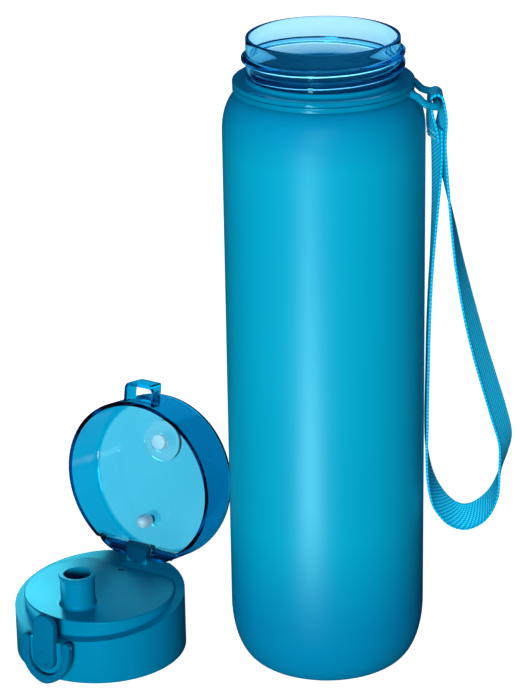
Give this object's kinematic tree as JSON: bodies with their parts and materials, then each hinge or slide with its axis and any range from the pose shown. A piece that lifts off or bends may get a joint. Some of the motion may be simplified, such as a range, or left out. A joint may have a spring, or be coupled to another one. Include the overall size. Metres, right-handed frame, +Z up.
{
  "type": "sports bottle",
  "caption": "Tall round drinking bottle with a screw neck and strap loop; its screw lid stands beside it with a spout and a sprung, lockable flip cap.",
  "frame": {"origin": "centre of the bottle's foot, on the surface it stands on", "axes": "+Z up the bottle's axis, +X from the axis towards the carry loop, +Y away from the lid's latch side, to the rear"},
  "size_m": [0.2077, 0.1062, 0.265],
  "materials": {
    "body": "frosted translucent copolyester, clear and glossy at the neck",
    "collar": "glossy translucent moulding",
    "webbing": "flat woven polyester webbing",
    "thread": "polyester sewing thread",
    "lid": "satin polypropylene",
    "silicone": "clear silicone",
    "steel": "stainless wire and pins",
    "cap": "clear tinted copolyester, polished",
    "latch": "satin polypropylene"
  },
  "bodies": {
    "bottle": {"bottle_body": "body"},
    "collar": {"carry_collar": "collar", "wrist_strap": "webbing", "strap_stitching": "thread"},
    "lid": {"lid_base": "lid", "lid_gasket": "silicone", "hinge_pin": "steel", "latch_pin": "steel", "latch_spring": "steel"},
    "cap": {"flip_cap": "cap", "spout_seal": "silicone", "vent_plug": "silicone", "hinge_spring": "steel"},
    "button": {"latch_button": "latch"},
    "lock": {"lock_ring": "latch"}
  },
  "joints": [
    {"name": "collar_turn", "type": "hinge", "parent": "bottle", "child": "collar", "pos_m": [0, 0, 0.2445], "axis": [0, 0, 1], "range_deg": [-100, 100]},
    {"name": "lid_lift", "type": "slide", "parent": "bottle", "child": "lid", "axis": [0, 0, 1], "range_m": [0, 0.3]},
    {"name": "cap_close", "type": "hinge", "parent": "lid", "child": "cap", "pos_m": [-0.0787, 0.03188, 0.03039], "axis": [0.848, -0.5299, 0], "range_deg": [0, 100], "stiffness_Nm_per_rad": 0.02, "springref_deg": -20.05},
    {"name": "button_press", "type": "hinge", "parent": "lid", "child": "button", "pos_m": [-0.11585, -0.02756, 0.018], "axis": [0.848, -0.5299, 0], "range_deg": [0, 5], "stiffness_Nm_per_rad": 0.05, "springref_deg": -5.73, "deforming": ["latch_spring"]},
    {"name": "lock_swing", "type": "hinge", "parent": "lid", "child": "lock", "pos_m": [-0.11585, -0.02756, 0.018], "axis": [-0.848, 0.5299, 0], "range_deg": [0, 160]}
  ]
}
